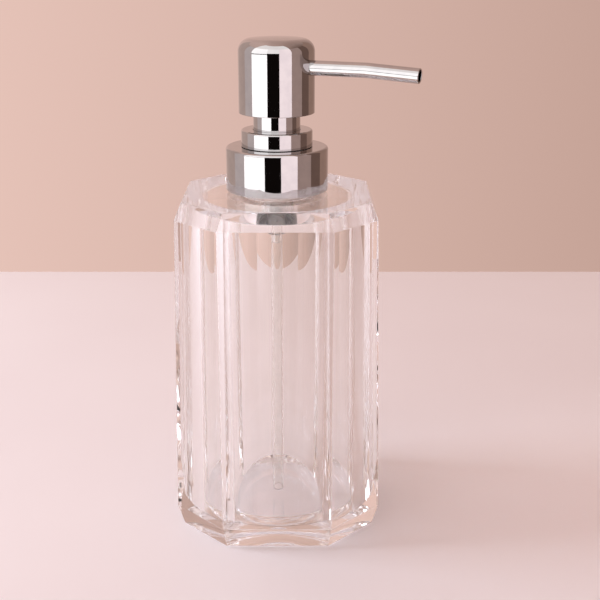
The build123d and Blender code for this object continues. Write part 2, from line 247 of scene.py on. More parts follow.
@dataclass(frozen=True)
class ClearAcrylic:
    """Cast acrylic (PMMA), flame and buff polished: water clear, with faint flow waves."""

    name: str
    tint_thin: str = "#ffffff"
    tint_thick: str = "#fcfcfb"
    ior: float = 1.49
    wave_mm: float = 14.0
    wave_strength: float = 0.002
    haze: float = 0.012
    smears_per_wave: float = 3.0
    shadow_side: float = 0.47
    shadow_level: float = 1.75
    shadow_warmth: tuple[float, float, float] = (1.0, 0.95, 0.94)

    def build(self) -> bpy.types.Material:
        """Build the material.

        Returns:
            A refracting material whose shadow is pale, as a clear block's is.
        """
        material, tree = new_material(self.name)
        waves = noise(tree, self.wave_mm, 1.0)
        smears = noise(tree, self.wave_mm / self.smears_per_wave, 3.0)
        # Flow waves bend the view through the wall a little, as moulded acrylic does.
        bump = add_node(
            tree,
            "ShaderNodeBump",
            values={"Strength": self.wave_strength, "Distance": MM},
            links={"Height": waves.outputs["Fac"]},
        )
        body = add_node(
            tree,
            "ShaderNodeBsdfPrincipled",
            values={"IOR": self.ior, "Transmission Weight": 1.0},
            links={
                "Base Color": tint_between(
                    tree, waves.outputs["Fac"], self.tint_thin, self.tint_thick
                ),
                "Roughness": spread(tree, smears.outputs["Fac"], 0.0, self.haze),
                "Normal": bump.outputs["Normal"],
            },
        )
        # A shadow ray can't bend, so the shadow of a clear block is set here: upright walls turn
        # part of the light aside, and level faces pass more than arrives (above 1), for the light
        # that the block gathers on what stands below.
        place = add_node(tree, "ShaderNodeNewGeometry")
        split = add_node(tree, "ShaderNodeSeparateXYZ", links={0: place.outputs["Normal"]})
        level = add_node(
            tree, "ShaderNodeMath", {"operation": "ABSOLUTE"}, links={0: split.outputs["Z"]}
        )
        passed = spread(tree, level.outputs["Value"], self.shadow_side, self.shadow_level)
        warm = add_node(
            tree,
            "ShaderNodeVectorMath",
            {"operation": "MULTIPLY"},
            values={1: self.shadow_warmth},
            links={0: passed},
        )
        through = add_node(
            tree, "ShaderNodeBsdfTransparent", links={"Color": warm.outputs["Vector"]}
        )
        show_through(tree, body.outputs["BSDF"], through.outputs["BSDF"])
        return material


@dataclass(frozen=True)
class BrightChrome:
    """Bright chrome plate over polished metal: a mirror with a trace of orange peel."""

    name: str
    tint: str = "#c6c6c6"
    tint_worn: str = "#bfbfc0"
    roughness_low: float = 0.02
    roughness_high: float = 0.06
    wipe_mm: float = 3.0
    peel_mm: float = 6.0
    peel_strength: float = 0.012

    def build(self) -> bpy.types.Material:
        """Build the material.

        Returns:
            The material.
        """
        material, tree = new_material(self.name)
        peel = noise(tree, self.peel_mm, 2.0)
        wiped = noise(tree, self.wipe_mm, 4.0)
        bump = add_node(
            tree,
            "ShaderNodeBump",
            values={"Strength": self.peel_strength, "Distance": MM},
            links={"Height": peel.outputs["Fac"]},
        )
        plate = add_node(
            tree,
            "ShaderNodeBsdfPrincipled",
            values={"Metallic": 1.0},
            links={
                "Base Color": tint_between(tree, wiped.outputs["Fac"], self.tint, self.tint_worn),
                "Roughness": spread(
                    tree, wiped.outputs["Fac"], self.roughness_low, self.roughness_high
                ),
                "Normal": bump.outputs["Normal"],
            },
        )
        add_node(tree, "ShaderNodeOutputMaterial", links={"Surface": plate.outputs["BSDF"]})
        return material


@dataclass(frozen=True)
class ClearPolyolefin:
    """Natural polyethylene or polypropylene, extruded or moulded thin: clear, a little milky."""

    name: str
    tint_clear: str = "#fdfdfc"
    tint_milky: str = "#f1f2f1"
    ior: float = 1.5
    roughness: float = 0.06
    roughness_ratio: float = 3.0
    milk: float = 0.05
    line_mm: float = 3.0

    def build(self) -> bpy.types.Material:
        """Build the material.

        Returns:
            The material.
        """
        material, tree = new_material(self.name)
        milk = noise(tree, self.line_mm, 3.0)
        body = add_node(
            tree,
            "ShaderNodeBsdfPrincipled",
            values={"IOR": self.ior, "Transmission Weight": 1.0 - self.milk},
            links={
                "Base Color": tint_between(
                    tree, milk.outputs["Fac"], self.tint_clear, self.tint_milky
                ),
                "Roughness": spread(
                    tree,
                    milk.outputs["Fac"],
                    self.roughness / self.roughness_ratio,
                    self.roughness,
                ),
            },
        )
        through = add_node(
            tree, "ShaderNodeBsdfTransparent", values={"Color": linear(self.tint_milky)}
        )
        show_through(tree, body.outputs["BSDF"], through.outputs["BSDF"])
        return material


@dataclass(frozen=True)
class MouldedPlastic:
    """Opaque moulded plastic with the faint grain that a spark-eroded mould leaves."""

    name: str
    tint: str
    tint_shade: str
    roughness: float = 0.42
    roughness_spread: float = 0.06
    ior: float = 1.49
    depth: float = 0.08
    blotch_mm: float = 7.0
    grain_mm: float = 0.35
    grain_strength: float = 0.08

    def build(self) -> bpy.types.Material:
        """Build the material.

        Returns:
            The material.
        """
        material, tree = new_material(self.name)
        blotch = noise(tree, self.blotch_mm, 2.0)
        grain = noise(tree, self.grain_mm, 2.0)
        bump = add_node(
            tree,
            "ShaderNodeBump",
            values={"Strength": self.grain_strength, "Distance": self.grain_mm * MM},
            links={"Height": grain.outputs["Fac"]},
        )
        body = add_node(
            tree,
            "ShaderNodeBsdfPrincipled",
            values={"IOR": self.ior, "Subsurface Weight": self.depth, "Subsurface Scale": MM},
            links={
                "Base Color": tint_between(tree, blotch.outputs["Fac"], self.tint, self.tint_shade),
                "Roughness": spread_around(
                    tree, grain.outputs["Fac"], self.roughness, self.roughness_spread
                ),
                "Normal": bump.outputs["Normal"],
            },
        )
        add_node(tree, "ShaderNodeOutputMaterial", links={"Surface": body.outputs["BSDF"]})
        return material


@dataclass(frozen=True)
class DrawnSteel:
    """Stainless spring wire and ball steel: fine drawing lines that soften the reflection."""

    name: str
    tint: str = "#c4c2bf"
    tint_dull: str = "#a9a6a2"
    roughness: float = 0.24
    roughness_spread: float = 0.08
    line_mm: float = 0.25

    def build(self) -> bpy.types.Material:
        """Build the material.

        Returns:
            The material.
        """
        material, tree = new_material(self.name)
        lines = noise(tree, self.line_mm, 2.0)
        body = add_node(
            tree,
            "ShaderNodeBsdfPrincipled",
            values={"Metallic": 1.0},
            links={
                "Base Color": tint_between(tree, lines.outputs["Fac"], self.tint, self.tint_dull),
                "Roughness": spread_around(
                    tree, lines.outputs["Fac"], self.roughness, self.roughness_spread
                ),
            },
        )
        add_node(tree, "ShaderNodeOutputMaterial", links={"Surface": body.outputs["BSDF"]})
        return material


@dataclass(frozen=True)
class StudioSurface:
    """Pale honed stone board of the studio floor: nearly plain, with a soft sheen."""

    name: str = "studio_floor"
    tint: str = "#f2eceb"
    tint_cloud: str = "#efe8e7"
    roughness: float = 0.5
    roughness_spread: float = 0.04
    ior: float = 1.45
    cloud_mm: float = 160.0

    def build(self) -> bpy.types.Material:
        """Build the material.

        Returns:
            The material.
        """
        material, tree = new_material(self.name)
        cloud = noise(tree, self.cloud_mm, 2.0)
        body = add_node(
            tree,
            "ShaderNodeBsdfPrincipled",
            values={"IOR": self.ior},
            links={
                "Base Color": tint_between(tree, cloud.outputs["Fac"], self.tint, self.tint_cloud),
                "Roughness": spread_around(
                    tree, cloud.outputs["Fac"], self.roughness, self.roughness_spread
                ),
            },
        )
        add_node(tree, "ShaderNodeOutputMaterial", links={"Surface": body.outputs["BSDF"]})
        return material


# ---- outlines and meshes ----------------------------------------------------------------------


def rounded(corners: list[Corner], closed: bool = True, step: float = radians(9)) -> list[Point]:
    """Round the corners of an outline with arcs.

    Args:
        corners: Points of the outline as (u, v, radius of the corner).
        closed: Whether the last point joins the first.
        step: Largest turn between two points of an arc.

    Returns:
        The outline's points, with an arc for each corner that has a radius.
    """
    points: list[Point] = []
    count = len(corners)
    for i, (u, v, radius) in enumerate(corners):
        if radius <= 0 or (not closed and i in (0, count - 1)):
            points.append((u, v))
            continue
        here = Vector((u, v))
        before = (Vector(corners[i - 1][:2]) - here).normalized()
        after = (Vector(corners[(i + 1) % count][:2]) - here).normalized()
        half = acos(max(-1.0, min(1.0, before.dot(after)))) / 2
        centre = here + (before + after).normalized() * (radius / sin(half))
        start = here + before * (radius / tan(half)) - centre
        turn = pi - 2 * half
        if start.x * after.y - start.y * after.x < 0:
            turn = -turn
        steps = max(2, round(abs(turn) / step))
        for k in range(steps + 1):
            a = turn * k / steps
            points.append(
                (
                    centre.x + start.x * cos(a) - start.y * sin(a),
                    centre.y + start.x * sin(a) + start.y * cos(a),
                )
            )
    return points


def plain_object(
    name: str, bm: bmesh.types.BMesh, material: bpy.types.Material
) -> bpy.types.Object:
    """Turn a bmesh into an object with flat faces.

    Args:
        name: Name of the object.
        bm: Mesh in metres; it is freed here.
        material: Finish of the object.

    Returns:
        The object, linked to the scene.
    """
    mesh = bpy.data.meshes.new(name)
    bm.to_mesh(mesh)
    bm.free()
    mesh.materials.append(material)
    thing = bpy.data.objects.new(name, mesh)
    bpy.context.scene.collection.objects.link(thing)
    return thing


def mesh_object(name: str, bm: bmesh.types.BMesh, material: bpy.types.Material) -> bpy.types.Object:
    """Finish a bmesh as a smooth object with area-weighted normals.

    Args:
        name: Name of the piece.
        bm: Mesh in metres; it is freed here.
        material: Finish of the piece.

    Returns:
        The object, linked to the scene.
    """
    bmesh.ops.recalc_face_normals(bm, faces=bm.faces)
    piece = plain_object(name, bm, material)
    faces = piece.data.polygons
    faces.foreach_set("use_smooth", [True] * len(faces))
    # Flat faces stay flat beside their rounded edges.
    weighted = piece.modifiers.new("face_weighted_normals", "WEIGHTED_NORMAL")
    weighted.mode = "FACE_AREA"
    weighted.weight = FACE_WEIGHT
    weighted.keep_sharp = True
    return piece


def ring_of(bm: bmesh.types.BMesh, radius: float, height: float, segments: int) -> list:
    """Add a horizontal ring of vertices, or one vertex on the axis.

    Args:
        bm: Mesh in metres that takes it.
        radius: Radius of the ring.
        height: Height of the ring.
        segments: Points round the axis.

    Returns:
        The new vertices.
    """
    if radius <= ON_AXIS_M:
        return [bm.verts.new((0, 0, height))]
    angles = (2 * pi * k / segments for k in range(segments))
    return [bm.verts.new((radius * cos(a), radius * sin(a), height)) for a in angles]


def join_rings(bm: bmesh.types.BMesh, first: list, second: list) -> None:
    """Fill the band between two rings of vertices, either of which may be one point.

    Args:
        bm: Mesh that takes the faces.
        first: One ring.
        second: The next one, with as many vertices.
    """
    count = max(len(first), len(second))
    for k in range(count):
        n = (k + 1) % count
        if len(first) == 1:
            bm.faces.new((first[0], second[n], second[k]))
        elif len(second) == 1:
            bm.faces.new((first[k], first[n], second[0]))
        else:
            bm.faces.new((first[k], first[n], second[n], second[k]))


def lathe(
    name: str, outline: list[Point], material: bpy.types.Material, segments: int = 192
) -> bpy.types.Object:
    """Turn an outline of (radius, height) millimetre points about the pump's axis.

    Args:
        name: Name of the piece.
        outline: Points in order; one that starts and ends on the axis makes a solid of
            revolution, and any other is a closed loop.
        material: Finish of the piece.
        segments: Points round the axis.

    Returns:
        The turned object.
    """
    bm = bmesh.new()
    rings = [ring_of(bm, r * MM, z * MM, segments) for r, z in outline]
    pairs = list(zip(rings, rings[1:]))
    if not (len(rings[0]) == 1 and len(rings[-1]) == 1):
        pairs.append((rings[-1], rings[0]))
    for first, second in pairs:
        join_rings(bm, first, second)
    return mesh_object(name, bm, material)


def tube_rings(
    bm: bmesh.types.BMesh, path: list[Vector], section: list[Point], segments: int
) -> list[list]:
    """Add rings of vertices square to a path in metres.

    Args:
        bm: Mesh that takes the rings.
        path: Points of the centre line; it may not run straight up.
        section: (radius, place) pairs in metres and path steps: where each ring lies.
        segments: Points round the path.

    Returns:
        The rings in order.
    """
    rings = []
    last = len(path) - 1
    for radius, place in section:
        i = min(int(place), last - 1)
        share = place - i
        centre = path[i].lerp(path[i + 1], share)
        # Near a point of the path, the ring leans half-way between the legs on either side.
        back = max(i - 1, 0) if share < 0.5 else i
        ahead = (path[i + 1] - path[back]).normalized()
        side = Vector((0, 0, 1)).cross(ahead).normalized()
        over = ahead.cross(side).normalized()
        ring = []
        for k in range(segments):
            a = 2 * pi * k / segments
            ring.append(bm.verts.new(centre + (side * cos(a) + over * sin(a)) * radius))
        rings.append(ring)
    return rings


def swept_tube(
    name: str,
    path: list[Vector],
    section: list[Point],
    material: bpy.types.Material,
    segments: int = 72,
) -> bpy.types.Object:
    """Sweep a hollow tube along a path.

    Args:
        name: Name of the piece.
        path: Points of the centre line, in metres.
        section: (radius, place) pairs that run out along the outside and back along the bore.
        material: Finish of the piece.
        segments: Points round the tube.

    Returns:
        The tube as one closed object.
    """
    bm = bmesh.new()
    rings = tube_rings(bm, path, section, segments)
    for first, second in zip(rings, rings[1:] + rings[:1]):
        join_rings(bm, first, second)
    return mesh_object(name, bm, material)


def rounded_octagon(half_width: float, ratio: float, radius: float, steps: int) -> list[Point]:
    """Outline of a square with cut corners and softly rounded edges.

    Args:
        half_width: Middle to a main face.
        ratio: Half a main face's width over half_width.
        radius: Radius of the upright edges.
        steps: Segments in each edge's arc.

    Returns:
        Points anticlockwise from the edge between the +X face and the next.
    """
    inner_width = half_width - radius
    slant = (1 + ratio) * half_width / sqrt(2) - radius
    offset = slant * sqrt(2) - inner_width
    points = []
    for quarter in range(4):
        base = quarter * pi / 2
        turn = Matrix.Rotation(base, 2)
        for centre, first in (((inner_width, offset), 0.0), ((offset, inner_width), pi / 4)):
            middle = turn @ Vector(centre)
            for k in range(steps + 1):
                a = base + first + pi / 4 * k / steps
                points.append((middle.x + radius * cos(a), middle.y + radius * sin(a)))
    return points


# ---- sub-assemblies ---------------------------------------------------------------------------


def mm_box(node: str) -> tuple[Vector, Vector]:
    """Read a CAD node's box at rest.

    Args:
        node: Name of the node.

    Returns:
        Its lowest and highest corner, in millimetres.
    """
    low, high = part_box(node)
    return low / MM, high / MM


def radius_of(node: str) -> float:
    """Read the outer radius of a round CAD node on the axis.

    Args:
        node: Name of the node.

    Returns:
        The radius in millimetres.
    """
    low, high = mm_box(node)
    return (high.y - low.y) / 2


def between(value: float, places: tuple[float, ...], values: tuple[float, ...]) -> float:
    """Read a value off a line of straight pieces.

    Args:
        value: Where to read, in the units of places.
        places: Increasing positions of the line's corners.
        values: Value at each corner.

    Returns:
        The value there; past either end it is the end's own.
    """
    for first, last, start, stop in zip(places, places[1:], values, values[1:]):
        if value <= last:
            share = max(0.0, (value - first) / (last - first))
            return start + (stop - start) * share
    return values[-1]


@dataclass
class Bottle:
    """Clear bottle: octagonal block with a round well, bevelled shoulder and threaded neck."""

    finish: ClearAcrylic = field(default_factory=lambda: ClearAcrylic("polished_cast_acrylic"))
    face_ratios: tuple[float, ...] = (0.522, 0.52, 0.555, 0.5345)
    foot_inset_mm: float = 2.14
    foot_height_mm: float = 7.7
    shoulder_inset_mm: float = 2.35
    neck_length_mm: float = 11.7
    neck_radius_mm: float = 12.7
    neck_bore_mm: float = 11.0
    well_radius_mm: float = 26.0
    well_floor_mm: float = 3.0
    well_corner_mm: float = 2.5
    edge_mm: float = 0.7
    bevel_edge_mm: float = 2.0
    seam_edge_mm: float = 0.8
    rim_mm: float = 0.5
    round_steps: int = 5
    segments: int = 256
    neck_rows: int = 40
    thread_lead_mm: float = 4.2
    thread_turns: float = 1.4
    thread_start_mm: float = 122.1
    thread_depth_mm: float = 0.9
    thread_root_mm: float = 1.9
    thread_crest_mm: float = 1.1
    fades_per_turn: float = 12.0

    def build(self) -> bpy.types.Object:
        """Build the bonded bottle as one clear body and let it stand for both CAD solids.

        Returns:
            The bottle.
        """
        low, high = mm_box("bottle_body")
        widest = high.x
        narrowest = mm_box("bottle_shoulder")[1].x
        seam = high.z
        top = mm_box("bottle_shoulder")[1].z
        shelf = top - self.neck_length_mm
        levels = (low.z, self.foot_height_mm, seam, shelf)
        bm = bmesh.new()
        outline = rounded(
            [
                (0.0, low.z, 0),
                (widest - self.foot_inset_mm, low.z, self.rim_mm),
                (widest, self.foot_height_mm, self.bevel_edge_mm),
                (narrowest, seam, self.seam_edge_mm),
                (narrowest - self.shoulder_inset_mm, shelf, self.rim_mm),
                (0.0, shelf, 0),
            ],
            closed=False,
        )[1:-1]
        rings = []
        for reach, height in outline:
            ratio = between(height, levels, self.face_ratios)
            points = rounded_octagon(reach, ratio, self.edge_mm, self.round_steps)
            rings.append([bm.verts.new((x * MM, y * MM, height * MM)) for x, y in points])
        for first, second in zip(rings, rings[1:]):
            join_rings(bm, first, second)
        bm.faces.new(rings[0][::-1])
        neck = self.neck_rings(bm, shelf, top)
        self.fill_between(bm, rings[-1], neck[0])
        for first, second in zip(neck, neck[1:]):
            join_rings(bm, first, second)
        well = rounded(
            [
                (self.neck_bore_mm, top - self.rim_mm, 0),
                (self.neck_bore_mm, seam, self.rim_mm),
                (self.well_radius_mm, seam, self.rim_mm),
                (self.well_radius_mm, self.well_floor_mm, self.well_corner_mm),
                (0.0, self.well_floor_mm, 0),
            ],
            closed=False,
            step=radians(5),
        )
        inner = [neck[-1]] + [ring_of(bm, r * MM, z * MM, self.segments) for r, z in well]
        for first, second in zip(inner, inner[1:]):
            join_rings(bm, first, second)
        piece = mesh_object("clear_bottle", bm, self.finish.build())
        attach(piece, "bottle")
        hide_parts("bottle_body", "bottle_shoulder")
        return piece

    def thread_rise(self, angle: float, height: float) -> float:
        """Work out how far the thread stands out of the neck.

        Args:
            angle: Where round the axis, in radians.
            height: How high, in millimetres.

        Returns:
            Height of the thread there, in millimetres; 0 between its turns.
        """
        crest = self.thread_crest_mm / 2
        root = self.thread_root_mm / 2
        best = 0.0
        for turn in range(int(self.thread_turns) + 1):
            swept = turn + (angle % (2 * pi)) / (2 * pi)
            if swept > self.thread_turns:
                continue
            away = abs(height - self.thread_start_mm - swept * self.thread_lead_mm)
            share = min(1.0, max(0.0, (root - away) / (root - crest)))
            to_end = min(swept, self.thread_turns - swept)
            fade = min(1.0, to_end * self.fades_per_turn)
            best = max(best, share * fade * self.thread_depth_mm)
        return best

    def neck_rings(self, bm: bmesh.types.BMesh, shelf: float, top: float) -> list[list]:
        """Add the rings of the neck's outside, with its helical thread, and its lip.

        Args:
            bm: Mesh that takes the rings.
            shelf: Height of the shoulder's flat top, in millimetres.
            top: Height of the neck's lip, in millimetres.

        Returns:
            Rings from the shoulder's top to the lip's inner edge.
        """
        rings = []
        for row in range(self.neck_rows + 1):
            height = shelf + (top - self.rim_mm - shelf) * row / self.neck_rows
            ring = []
            for k in range(self.segments):
                a = 2 * pi * k / self.segments
                reach = (self.neck_radius_mm + self.thread_rise(a, height)) * MM
                ring.append(bm.verts.new((reach * cos(a), reach * sin(a), height * MM)))
            rings.append(ring)
        lip = rounded(
            [
                (self.neck_radius_mm, top - 2 * self.rim_mm, 0),
                (self.neck_radius_mm, top, self.rim_mm),
                (self.neck_bore_mm, top, self.rim_mm),
                (self.neck_bore_mm, top - 2 * self.rim_mm, 0),
            ],
            closed=False,
            step=radians(30),
        )[2:-1]
        rings += [ring_of(bm, r * MM, z * MM, self.segments) for r, z in lip]
        return rings

    @staticmethod
    def fill_between(bm: bmesh.types.BMesh, outer: list, inner: list) -> None:
        """Fill the flat area between two closed rings that lie in one plane.

        Args:
            bm: Mesh that takes the faces.
            outer: Outer ring of vertices.
            inner: Inner ring of vertices.
        """
        edges = []
        for ring in (outer, inner):
            for a, b in zip(ring, ring[1:] + ring[:1]):
                edges.append(bm.edges.get((a, b)) or bm.edges.new((a, b)))
        bmesh.ops.triangle_fill(bm, edges=edges, use_beauty=True)


@dataclass
class Closure:
    """Screw closure: chrome collar shell over a moulded cap with a ribbed grip inside."""

    chrome: BrightChrome = field(default_factory=lambda: BrightChrome("chrome_plated_collar"))
    plastic: MouldedPlastic = field(
        default_factory=lambda: MouldedPlastic("moulded_polypropylene_cap", "#d9d6d2", "#cfccc8")
    )
    wall_mm: float = 0.45
    hole_radius_mm: float = 9.7
    edge_mm: float = 1.0
    rim_mm: float = 0.15
    under_rim_mm: float = 0.1
    segments: int = 256

    def build(self, frame: dict) -> list[bpy.types.Object]:
        """Build the collar and finish the cap.


        Returns:
            The closure's pieces.
        """
        low, high = mm_box("collar_shell")
        outer = radius_of("collar_shell")
        collar = lathe(
            "chrome_collar",
            rounded(
                [
                    (outer - self.wall_mm, low.z, self.rim_mm),
                    (outer, low.z, self.rim_mm),
                    (outer, high.z, self.edge_mm),
                    (self.hole_radius_mm, high.z, self.rim_mm),
                    (self.hole_radius_mm, high.z - self.wall_mm, self.under_rim_mm),
                    (outer - self.wall_mm, high.z - self.wall_mm, self.edge_mm - self.wall_mm),
                ]
            ),
            self.chrome.build(),
            self.segments,
        )
        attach(collar, "closure")
        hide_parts("collar_shell")
        cap = frame["nodes"]["threaded_cap"]
        dress(cap, self.plastic.build())
        return [collar, cap]


def dress(node: bpy.types.Object, material: bpy.types.Material) -> None:
    """Give a CAD node a finish in place of its plain one.

    Args:
        node: Object of the CAD node.
        material: The finish.
    """
    node.data.materials.clear()
    node.data.materials.append(material)


@dataclass
class PumpUnit:
    """What hangs in the neck: step ring, guide, cylinder, valve, spring and dip tube."""

    chrome: BrightChrome = field(default_factory=lambda: BrightChrome("chrome_plated_step_ring"))
    clear: ClearPolyolefin = field(default_factory=lambda: ClearPolyolefin("clear_polypropylene"))
    tube: ClearPolyolefin = field(
        default_factory=lambda: ClearPolyolefin(
            "extruded_polyethylene_tube", tint_milky="#f9faf9", roughness=0.01, milk=0.0
        )
    )
    plastic: MouldedPlastic = field(
        default_factory=lambda: MouldedPlastic("moulded_acetal_guide", "#eceae6", "#e4e2dd")
    )
    rubber: MouldedPlastic = field(
        default_factory=lambda: MouldedPlastic("moulded_elastomer_seal", "#d8d6d0", "#cbc9c3", 0.6)
    )
    steel: DrawnSteel = field(default_factory=lambda: DrawnSteel("stainless_spring_wire"))
    wall_mm: float = 0.45
    edge_mm: float = 0.7
    bore_mm: float = 7.98
    rim_mm: float = 0.12
    mouth_mm: float = 0.2
    under_mouth_mm: float = 0.05
    tube_bore_mm: float = 2.3
    cut_mm: float = 0.12
    tube_segments: int = 96
    spring_turns: float = 6.0
    steps_per_turn: int = 48
    wire_mm: float = 0.5
    wire_segments: int = 16
    squashed_share: float = 0.573

    def build(self, frame: dict) -> list[bpy.types.Object]:
        """Build the ring, the dip tube and the spring, and finish the mechanism's CAD nodes.


        Returns:
            The pump unit's new pieces.
        """
        nodes = frame["nodes"]
        low, high = mm_box("guide_ring_shell")
        outer = radius_of("guide_ring_shell")
        ring = lathe(
            "chrome_step_ring",
            rounded(
                [
                    (outer - self.wall_mm, low.z, self.rim_mm),
                    (outer, low.z, self.rim_mm),
                    (outer, high.z, self.edge_mm),
                    (self.bore_mm, high.z, self.mouth_mm),
                    (self.bore_mm, high.z - self.wall_mm, self.under_mouth_mm),
                    (outer - self.wall_mm, high.z - self.wall_mm, self.edge_mm - self.wall_mm),
                ]
            ),
            self.chrome.build(),
        )
        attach(ring, "pump_unit")
        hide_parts("guide_ring_shell")
        low, high = mm_box("dip_tube")
        outer = radius_of("dip_tube")
        dip = lathe(
            "clear_dip_tube",
            rounded(
                [
                    (self.tube_bore_mm, low.z, self.cut_mm),
                    (outer, low.z, self.cut_mm),
                    (outer, high.z, self.cut_mm),
                    (self.tube_bore_mm, high.z, self.cut_mm),
                ]
            ),
            self.tube.build(),
            self.tube_segments,
        )
        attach(dip, "pump_unit")
        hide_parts("dip_tube")
        clear, plastic = self.clear.build(), self.plastic.build()
        rubber, steel = self.rubber.build(), self.steel.build()
        for name in ("pump_cylinder", "ball_retainer"):
            dress(nodes[name], clear)
        dress(nodes["stem_guide"], plastic)
        for name in ("neck_gasket", "wiper_seal", "piston_seal", "spout_o_ring"):
            dress(nodes[name], rubber)
        for name in ("inlet_ball", "outlet_ball"):
            dress(nodes[name], steel)
        for name in ("stem", "piston_rod", "head_core"):
            dress(nodes[name], plastic)
        return [ring, dip, self.spring(steel)]

    def spring(self, steel: bpy.types.Material) -> bpy.types.Object:
        """Wind the return spring at its length at rest.

        Args:
            steel: Finish of the wire.

        Returns:
            The coil.
        """
        low, high = mm_box("spring")
        base, top = low.z + self.wire_mm, high.z - self.wire_mm
        radius = (high.y - low.y) / 2 - self.wire_mm
        steps = round(self.spring_turns * self.steps_per_turn)
        path = []
        for k in range(steps + 1):
            a = 2 * pi * self.spring_turns * k / steps
            height = base + (top - base) * k / steps
            path.append(Vector((radius * cos(a), radius * sin(a), height)) * MM)
        bm = bmesh.new()
        wire = [(self.wire_mm * MM, float(k)) for k in range(steps + 1)]
        rings = tube_rings(bm, path, wire, self.wire_segments)
        for first, second in zip(rings, rings[1:]):
            join_rings(bm, first, second)
        bm.faces.new(rings[0][::-1])
        bm.faces.new(rings[-1])
        coil = mesh_object("return_spring", bm, steel)
        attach(coil, "pump_unit")
        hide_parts("spring")
        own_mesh(coil)
        return coil


@dataclass
class PressHead:
    """Press head: crowned chrome shell, stem sleeve and thin swivelling spout."""

    shell_chrome: BrightChrome = field(default_factory=lambda: BrightChrome("chrome_plated_head"))
    sleeve_chrome: BrightChrome = field(
        default_factory=lambda: BrightChrome("chrome_plated_sleeve")
    )
    spout_chrome: BrightChrome = field(default_factory=lambda: BrightChrome("chrome_plated_spout"))
    wall_mm: float = 0.45
    crown_mm: float = 0.9
    edge_mm: float = 4.2
    crown_steps: int = 14
    lip_steps: int = 6
    segments: int = 256
    sleeve_rims_mm: tuple[float, float, float] = (0.1, 0.2, 0.05)
    spout_height_mm: float = 159.3
    spout_azimuth: float = radians(-22)
    spout_radius_mm: float = 2.45
    spout_bore_mm: float = 1.95
    spout_start_mm: float = 5.2
    spout_bend_mm: float = 31.2
    spout_tip_mm: float = 48.9
    spout_drop_mm: float = 1.05
    spout_bend_radius_mm: float = 14.0

    def crowned(self, radius: float, base: float, top: float, edge: float) -> list[Point]:
        """Outline of the crowned cap, from its rim up to the middle of its top.

        Args:
            radius: Radius of the straight side.
            base: Height of the rim.
            top: Height of the top's middle.
            edge: Radius of the rounded edge.

        Returns:
            Points from the rim to the axis.
        """
        crown = (radius**2 + self.crown_mm**2) / (2 * self.crown_mm)
        middle = top - crown
        lean = asin((radius - edge) / (crown - edge))
        corner = middle + (crown - edge) * cos(lean)
        points = [(radius, base)]
        steps = self.crown_steps
        for k in range(steps + 1):
            a = pi / 2 - (pi / 2 - lean) * k / steps
            points.append((radius - edge + edge * sin(a), corner + edge * cos(a)))
        for k in range(1, steps + 1):
            a = lean * (1 - k / steps)
            points.append((crown * sin(a), middle + crown * cos(a)))
        return points

    def build(self) -> list[bpy.types.Object]:
        """Build the head's visible pieces.

        Returns:
            Shell, sleeve and spout.
        """
        low, high = mm_box("head_shell")
        outer = radius_of("head_shell")
        inner = outer - self.wall_mm
        rim = self.wall_mm / 2
        base = low.z + rim
        outside = self.crowned(outer, base, high.z, self.edge_mm)
        inside = self.crowned(inner, base, high.z - self.wall_mm, self.edge_mm - self.wall_mm)
        lip = [
            (outer - rim + rim * cos(a), base - rim * sin(a))
            for a in (pi * k / self.lip_steps for k in range(1, self.lip_steps))
        ]
        outline = outside[::-1] + lip + inside
        shell = lathe("chrome_head", outline, self.shell_chrome.build(), self.segments)
        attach(shell, "actuator")
        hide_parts("head_shell")
        low, high = mm_box("stem_sleeve")
        outer = radius_of("stem_sleeve")
        foot_inside, foot_outside, hidden = self.sleeve_rims_mm
        sleeve = lathe(
            "chrome_stem_sleeve",
            rounded(
                [
                    (outer - self.wall_mm, low.z, foot_inside),
                    (outer, low.z, foot_outside),
                    (outer, high.z, hidden),
                    (outer - self.wall_mm, high.z, hidden),
                ]
            ),
            self.sleeve_chrome.build(),
        )
        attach(sleeve, "actuator")
        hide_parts("stem_sleeve")
        return [shell, sleeve, self.spout()]

    def spout_path(self) -> list[Vector]:
        """Lay the spout's centre line: straight, gently bent and straight again.

        Returns:
            Its points in metres, from inside the head to the mouth.
        """
        out = Vector((cos(self.spout_azimuth), sin(self.spout_azimuth), 0))
        line = rounded(
            [
                (self.spout_start_mm, self.spout_height_mm, 0),
                (self.spout_bend_mm, self.spout_height_mm, self.spout_bend_radius_mm),
                (self.spout_tip_mm, self.spout_height_mm - self.spout_drop_mm, 0),
            ],
            closed=False,
            step=radians(0.5),
        )
        return [(out * u + Vector((0, 0, v))) * MM for u, v in line]

    def spout(self) -> bpy.types.Object:
        """Build the spout tube with its open, softly rounded mouth.

        Returns:
            The spout.
        """
        path = self.spout_path()
        last = len(path) - 1
        run = (path[-1] - path[-2]).length / MM
        wall = self.spout_radius_mm - self.spout_bore_mm
        round_mm = wall / 2
        section = [(self.spout_radius_mm * MM, float(i)) for i in range(last)]
        for k in range(self.lip_steps + 1):
            a = pi * k / self.lip_steps
            reach = self.spout_bore_mm + round_mm + round_mm * cos(a)
            section.append((reach * MM, last - (round_mm - round_mm * sin(a)) / run))
        section += [(self.spout_bore_mm * MM, float(i)) for i in range(last - 1, -1, -1)]
        tube = swept_tube("chrome_spout", path, section, self.spout_chrome.build())
        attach(tube, "actuator")
        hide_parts("spout_tube")
        return tube


# ---- studio -----------------------------------------------------------------------------------


@dataclass(frozen=True)
class Card:
    """Upright reflector card on a circle round the object, seen only in gloss.

    Angles are in degrees from the front, positive to the right.
    """

    name: str
    start: float
    stop: float
    colour: str
    strength: float = 1.0
    foot_m: float = -0.45
    head_m: float = 0.75


